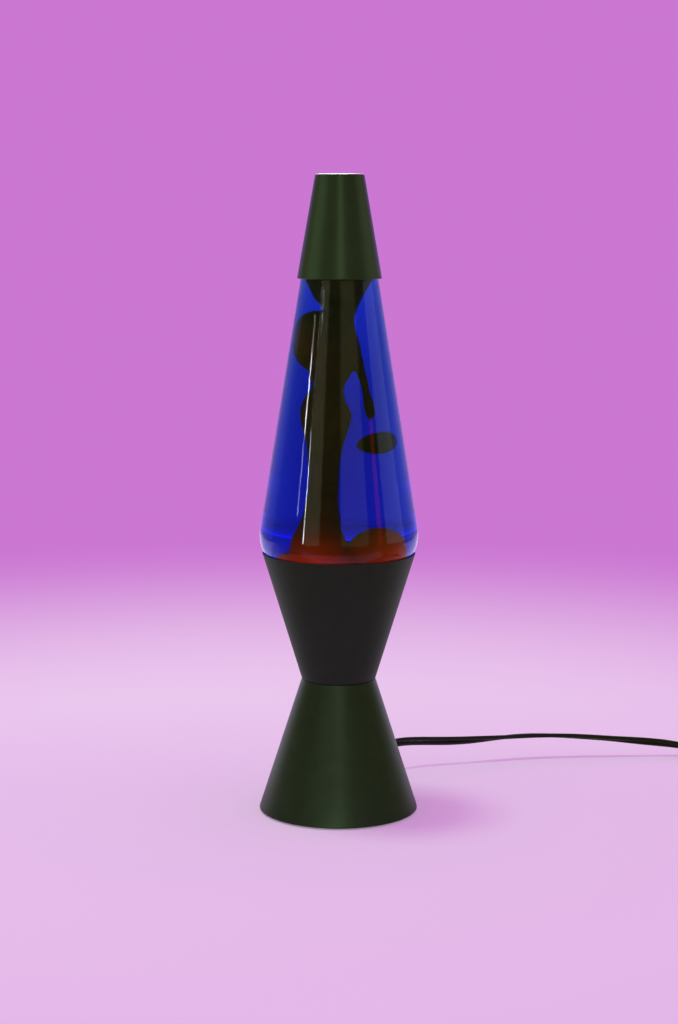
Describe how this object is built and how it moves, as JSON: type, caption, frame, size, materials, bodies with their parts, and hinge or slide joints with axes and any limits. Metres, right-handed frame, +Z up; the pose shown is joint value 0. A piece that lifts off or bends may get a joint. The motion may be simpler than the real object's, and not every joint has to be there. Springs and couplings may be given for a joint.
{
  "type": "lava lamp",
  "caption": "Table-top lava lamp: tapered glass globe of coloured liquid and wax on a two-cone base, with a conical cap, a screw-in reflector bulb and a cord with an inline switch and plug.",
  "frame": {"origin": "the lamp's vertical axis at table height, under the centre of the base", "axes": "+Z up along the lamp's axis, -Y towards the viewer in front, +X to the viewer's right; the cord leaves the back of the base towards +X"},
  "size_m": [0.3262, 0.2197, 0.3683],
  "materials": {
    "base_lower_paint": "satin dark green-black enamel",
    "base_upper_paint": "satin black enamel",
    "cap_paint": "spun aluminium in satin dark green-black enamel",
    "steel": "plated, satin",
    "brass": "plain",
    "porcelain": "white glazed porcelain",
    "cover_plastic": "matt black",
    "pad_rubber": "soft black rubber",
    "bulb_glass": "clear front over a silvered reflector",
    "stem_glass": "clear",
    "black_glass": "opaque black glass",
    "solder": "dull tin",
    "tungsten": "fine wire",
    "globe_glass": "clear, polished",
    "crown_metal": "lacquered gold-coloured tinplate",
    "liner": "soft sealing compound",
    "blue_liquid": "clear deep blue liquid",
    "wax": "dark olive wax with a soft sheen, red where light comes through it",
    "cord_pvc": "black flexible vinyl",
    "copper": "bare stranded copper",
    "switch_plastic": "black",
    "wheel_plastic": "ribbed black"
  },
  "bodies": {
    "base": {"lower_cone": "base_lower_paint", "upper_cone": "base_upper_paint", "waist_rivets": "steel", "socket_bracket": "steel", "bottom_cover": "cover_plastic", "foot_pads": "pad_rubber", "cord_grommet": "pad_rubber", "socket_body": "porcelain", "socket_screw": "steel", "socket_shell": "brass", "socket_contact": "brass", "terminal_screws": "brass", "cord_insulation": "cord_pvc", "cord_wires": "copper", "lead_wires": "cord_pvc", "switch_lower_case": "switch_plastic", "switch_upper_case": "switch_plastic", "switch_axle": "steel", "switch_contacts": "brass", "switch_screw": "steel", "plug_body": "cord_pvc", "plug_blades": "brass"},
    "globe": {"glass_globe": "globe_glass", "crown_cap": "crown_metal", "crown_liner": "liner", "heating_coil": "steel", "wax_mass": "wax", "liquid": "blue_liquid"},
    "cap": {"top_cap": "cap_paint"},
    "wax_drop": {"wax_blob": "wax"},
    "bulb_carriage": {"bulb_tip": "solder"},
    "bulb": {"bulb_envelope": "bulb_glass", "bulb_stem": "stem_glass", "bulb_shell": "brass", "bulb_insulator": "black_glass", "bulb_filament": "tungsten"},
    "dimmer_wheel": {"switch_wheel": "wheel_plastic"}
  },
  "joints": [
    {"name": "globe_lift", "type": "slide", "parent": "base", "child": "globe", "axis": [0, 0, 1], "range_m": [0, 0.1]},
    {"name": "cap_lift", "type": "slide", "parent": "globe", "child": "cap", "axis": [0, 0, 1], "range_m": [0, 0.12]},
    {"name": "drop_rise", "type": "slide", "parent": "globe", "child": "wax_drop", "axis": [0, 0, 1], "range_m": [-0.04, 0.006], "deforming": ["liquid"]},
    {"name": "bulb_turn", "type": "hinge", "parent": "bulb_carriage", "child": "bulb", "pos_m": [0, 0, 0.05], "axis": [0, 0, 1], "range_deg": [0, 1440]},
    {"name": "bulb_rise", "type": "slide", "parent": "base", "child": "bulb_carriage", "axis": [0, 0, 1], "range_m": [0, 0.0114]},
    {"name": "wheel_turn", "type": "hinge", "parent": "base", "child": "dimmer_wheel", "pos_m": [0.27, 0.028, 0.0105], "axis": [1, 0, 0], "continuous": true}
  ],
  "couplings": [
    {"joint": "bulb_rise", "follows": "bulb_turn", "m_per_rad": 0.00044913}
  ]
}
